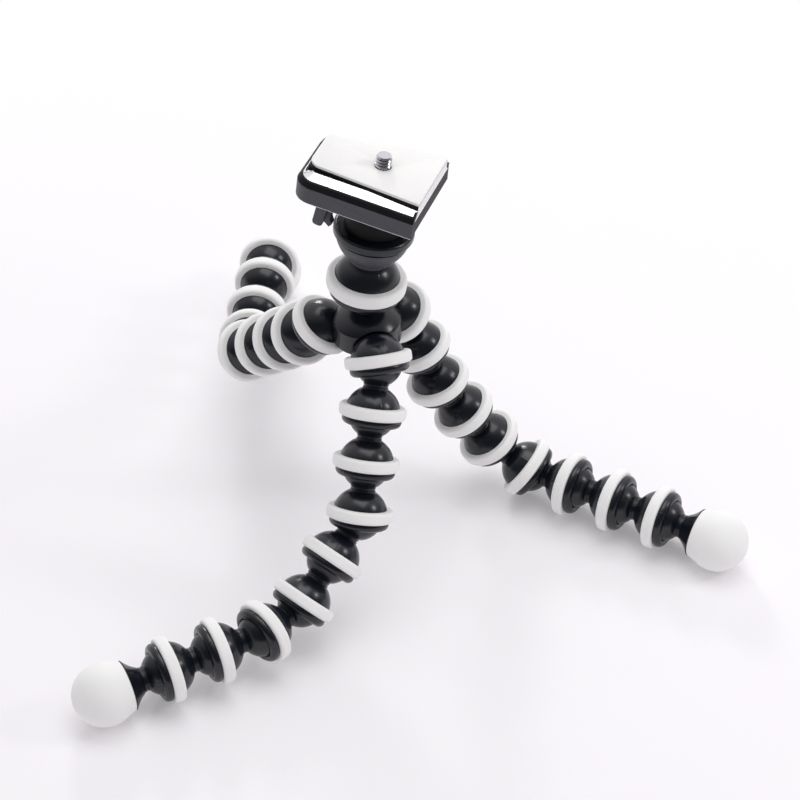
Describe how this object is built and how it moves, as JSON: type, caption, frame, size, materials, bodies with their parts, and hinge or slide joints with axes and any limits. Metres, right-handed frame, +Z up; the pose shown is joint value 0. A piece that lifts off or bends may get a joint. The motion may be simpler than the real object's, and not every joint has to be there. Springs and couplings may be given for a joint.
{
  "type": "flexible leg tripod",
  "caption": "Flexible tripod with legs of ball-and-socket links carrying rubber grip rings, ball feet, and a panning head with a quick-release camera plate and threaded camera screw.",
  "frame": {"origin": "on the floor, in the middle of the rectangle that the three feet span", "axes": "+Z up, along the upright hub; +Y away from the viewer of the picture; +X to the right in it"},
  "size_m": [0.2712, 0.2986, 0.1851],
  "materials": {
    "black_plastic": "glossy black moulded nylon with a fine grain",
    "white_rubber": "soft off-white rubber, matte",
    "grey_plastic": "satin dark grey moulded plastic",
    "plate_plastic": "pale non-slip pad over a black plastic plate",
    "steel": "bright turned steel"
  },
  "bodies": {
    "hub": {"hub_body": "black_plastic", "hub_rings": "white_rubber"},
    "front_leg_1": {"front_link_1": "black_plastic", "front_ring_1": "white_rubber"},
    "front_leg_2": {"front_link_2": "black_plastic", "front_ring_2": "white_rubber"},
    "front_leg_3": {"front_link_3": "black_plastic", "front_ring_3": "white_rubber"},
    "front_leg_4": {"front_link_4": "black_plastic", "front_ring_4": "white_rubber"},
    "front_leg_5": {"front_link_5": "black_plastic", "front_ring_5": "white_rubber"},
    "front_leg_6": {"front_link_6": "black_plastic", "front_ring_6": "white_rubber"},
    "front_leg_7": {"front_link_7": "black_plastic", "front_ring_7": "white_rubber"},
    "front_leg_8": {"front_link_8": "black_plastic", "front_ring_8": "white_rubber"},
    "right_leg_1": {"right_link_1": "black_plastic", "right_ring_1": "white_rubber"},
    "right_leg_2": {"right_link_2": "black_plastic", "right_ring_2": "white_rubber"},
    "right_leg_3": {"right_link_3": "black_plastic", "right_ring_3": "white_rubber"},
    "right_leg_4": {"right_link_4": "black_plastic", "right_ring_4": "white_rubber"},
    "right_leg_5": {"right_link_5": "black_plastic", "right_ring_5": "white_rubber"},
    "right_leg_6": {"right_link_6": "black_plastic", "right_ring_6": "white_rubber"},
    "right_leg_7": {"right_link_7": "black_plastic", "right_ring_7": "white_rubber"},
    "right_leg_8": {"right_link_8": "black_plastic", "right_ring_8": "white_rubber"},
    "back_leg_1": {"back_link_1": "black_plastic", "back_ring_1": "white_rubber"},
    "back_leg_2": {"back_link_2": "black_plastic", "back_ring_2": "white_rubber"},
    "back_leg_3": {"back_link_3": "black_plastic", "back_ring_3": "white_rubber"},
    "back_leg_4": {"back_link_4": "black_plastic", "back_ring_4": "white_rubber"},
    "back_leg_5": {"back_link_5": "black_plastic", "back_ring_5": "white_rubber"},
    "back_leg_6": {"back_link_6": "black_plastic", "back_ring_6": "white_rubber"},
    "back_leg_7": {"back_link_7": "black_plastic", "back_ring_7": "white_rubber"},
    "back_leg_8": {"back_link_8": "black_plastic", "back_ring_8": "white_rubber"},
    "front_foot": {"front_foot": "white_rubber"},
    "right_foot": {"right_foot": "white_rubber"},
    "back_foot": {"back_foot": "white_rubber"},
    "stem": {"stem_link": "black_plastic", "stem_ring": "white_rubber"},
    "lock_collar": {"lock_collar": "black_plastic"},
    "head_base": {"head_base": "grey_plastic"},
    "release_lever": {"release_lever": "black_plastic"},
    "camera_plate": {"camera_plate": "plate_plastic"},
    "camera_screw": {"camera_screw": "steel"}
  },
  "joints": [
    {"name": "front_ball_1", "type": "hinge", "parent": "hub", "child": "front_leg_1", "pos_m": [-0.01672, -0.03804, 0.09813], "axis": [0.2356, 0.8243, -0.5148], "range_deg": [-50.5, 18.5]},
    {"name": "front_ball_2", "type": "hinge", "parent": "front_leg_1", "child": "front_leg_2", "pos_m": [-0.01931, -0.04844, 0.0803], "axis": [-0.2074, -0.8317, 0.515], "range_deg": [-34.5, 34.5]},
    {"name": "front_ball_3", "type": "hinge", "parent": "front_leg_2", "child": "front_leg_3", "pos_m": [-0.0219, -0.05883, 0.06247], "axis": [-0.9703, 0.2419, 0], "range_deg": [-34.5, 34.5]},
    {"name": "front_ball_4", "type": "hinge", "parent": "front_leg_3", "child": "front_leg_4", "pos_m": [-0.02449, -0.06923, 0.04464], "axis": [-0.3917, 0.8185, -0.4203], "range_deg": [-63.5, 5]},
    {"name": "front_ball_5", "type": "hinge", "parent": "front_leg_4", "child": "front_leg_5", "pos_m": [-0.03603, -0.08118, 0.03212], "axis": [-0.7193, 0.6947, 0], "range_deg": [-34.5, 34.5]},
    {"name": "front_ball_6", "type": "hinge", "parent": "front_leg_5", "child": "front_leg_6", "pos_m": [-0.04757, -0.09312, 0.01961], "axis": [-0.6736, 0.7347, -0.0804], "range_deg": [-65.5, 3.5]},
    {"name": "front_ball_7", "type": "hinge", "parent": "front_leg_6", "child": "front_leg_7", "pos_m": [-0.0627, -0.10723, 0.01743], "axis": [0.0055, 0.1466, -0.9892], "range_deg": [-51.5, 17.5]},
    {"name": "front_ball_8", "type": "hinge", "parent": "front_leg_7", "child": "front_leg_8", "pos_m": [-0.08135, -0.11633, 0.01598], "axis": [-0.0627, -0.0306, 0.9976], "range_deg": [-34.5, 34.5]},
    {"name": "front_ball_9", "type": "hinge", "parent": "front_leg_8", "child": "front_foot", "pos_m": [-0.1, -0.12543, 0.01453], "axis": [-0.4384, 0.8988, 0], "range_deg": [-34.5, 34.5]},
    {"name": "right_ball_1", "type": "hinge", "parent": "hub", "child": "right_leg_1", "pos_m": [-0.00811, -0.00592, 0.09813], "axis": [-0.9139, 0.1617, -0.3724], "range_deg": [-55, 13.5]},
    {"name": "right_ball_2", "type": "hinge", "parent": "right_leg_1", "child": "right_leg_2", "pos_m": [-0.00008, -0.00465, 0.07898], "axis": [0.9092, 0.144, 0.3907], "range_deg": [-34.5, 34.5]},
    {"name": "right_ball_3", "type": "hinge", "parent": "right_leg_2", "child": "right_leg_3", "pos_m": [0.00795, -0.00338, 0.05983], "axis": [0.2546, -0.9661, 0.0426], "range_deg": [-44.5, 24.5]},
    {"name": "right_ball_4", "type": "hinge", "parent": "right_leg_3", "child": "right_leg_4", "pos_m": [0.01906, -0.00122, 0.04239], "axis": [0.8233, 0.16, 0.5446], "range_deg": [-34.5, 34.5]},
    {"name": "right_ball_5", "type": "hinge", "parent": "right_leg_4", "child": "right_leg_5", "pos_m": [0.03019, 0.00094, 0.02495], "axis": [-0.5504, -0.7103, -0.4388], "range_deg": [-67.5, 1.5]},
    {"name": "right_ball_6", "type": "hinge", "parent": "right_leg_5", "child": "right_leg_6", "pos_m": [0.04676, -0.00509, 0.01392], "axis": [-0.4817, -0.8344, -0.2677], "range_deg": [-68, 1]},
    {"name": "right_ball_7", "type": "hinge", "parent": "right_leg_6", "child": "right_leg_7", "pos_m": [0.06477, -0.01549, 0.01392], "axis": [-0.5, -0.866, 0], "range_deg": [-34.5, 34.5]},
    {"name": "right_ball_8", "type": "hinge", "parent": "right_leg_7", "child": "right_leg_8", "pos_m": [0.08279, -0.02589, 0.01392], "axis": [0, 0, 1], "range_deg": [-34.5, 34.5]},
    {"name": "right_ball_9", "type": "hinge", "parent": "right_leg_8", "child": "right_foot", "pos_m": [0.1008, -0.03629, 0.01392], "axis": [-0.5, -0.866, 0], "range_deg": [-32, 32]},
    {"name": "back_ball_1", "type": "hinge", "parent": "hub", "child": "back_leg_1", "pos_m": [-0.04023, -0.01453, 0.09813], "axis": [0.8228, -0.0523, -0.566], "range_deg": [-65, 3.5]},
    {"name": "back_ball_2", "type": "hinge", "parent": "back_leg_1", "child": "back_leg_2", "pos_m": [-0.04878, -0.00136, 0.08448], "axis": [-0.3573, 0.5502, 0.7547], "range_deg": [-34.5, 34.5]},
    {"name": "back_ball_3", "type": "hinge", "parent": "back_leg_2", "child": "back_leg_3", "pos_m": [-0.05733, 0.0118, 0.07083], "axis": [0.8387, 0.5446, 0], "range_deg": [-34.5, 34.5]},
    {"name": "back_ball_4", "type": "hinge", "parent": "back_leg_3", "child": "back_leg_4", "pos_m": [-0.06588, 0.02497, 0.05719], "axis": [-0.3573, 0.5502, 0.7547], "range_deg": [-34.5, 34.5]},
    {"name": "back_ball_5", "type": "hinge", "parent": "back_leg_4", "child": "back_leg_5", "pos_m": [-0.07443, 0.03813, 0.04354], "axis": [0.6431, -0.3087, -0.7008], "range_deg": [-68, 1]},
    {"name": "back_ball_6", "type": "hinge", "parent": "back_leg_5", "child": "back_leg_6", "pos_m": [-0.0741, 0.05728, 0.03542], "axis": [0.9638, -0.1183, -0.2391], "range_deg": [-58, 10.5]},
    {"name": "back_ball_7", "type": "hinge", "parent": "back_leg_6", "child": "back_leg_7", "pos_m": [-0.07156, 0.07792, 0.03542], "axis": [0.9925, -0.1219, 0], "range_deg": [-34.5, 34.5]},
    {"name": "back_ball_8", "type": "hinge", "parent": "back_leg_7", "child": "back_leg_8", "pos_m": [-0.06903, 0.09857, 0.03542], "axis": [-0.9431, 0.1158, 0.3118], "range_deg": [-47, 22]},
    {"name": "back_ball_9", "type": "hinge", "parent": "back_leg_8", "child": "back_foot", "pos_m": [-0.06796, 0.11889, 0.03109], "axis": [-0.9986, 0.0523, 0], "range_deg": [-68.5, 0.5]},
    {"name": "stem_ball", "type": "hinge", "parent": "hub", "child": "stem", "pos_m": [-0.02169, -0.0195, 0.12333], "axis": [0, 1, 0], "range_deg": [-35, 21]},
    {"name": "head_pan", "type": "hinge", "parent": "stem", "child": "head_base", "pos_m": [-0.01652, -0.0195, 0.16541], "axis": [0.1219, 0, 0.9925], "range_deg": [-180, 180]},
    {"name": "collar_turn", "type": "hinge", "parent": "stem", "child": "lock_collar", "pos_m": [-0.01869, -0.0195, 0.14774], "axis": [0.1219, 0, 0.9925], "range_deg": [0, 90]},
    {"name": "lever_press", "type": "hinge", "parent": "head_base", "child": "release_lever", "pos_m": [-0.03605, -0.02741, 0.17184], "axis": [0.3231, 0.9455, -0.0397], "range_deg": [0, 14], "stiffness_Nm_per_rad": 0.2},
    {"name": "plate_slide", "type": "slide", "parent": "head_base", "child": "camera_plate", "axis": [0.9385, -0.3256, -0.1152], "range_m": [0, 0.04]},
    {"name": "screw_turn", "type": "hinge", "parent": "camera_plate", "child": "camera_screw", "pos_m": [-0.01475, -0.0195, 0.1798], "axis": [0.1219, 0, 0.9925], "continuous": true}
  ]
}
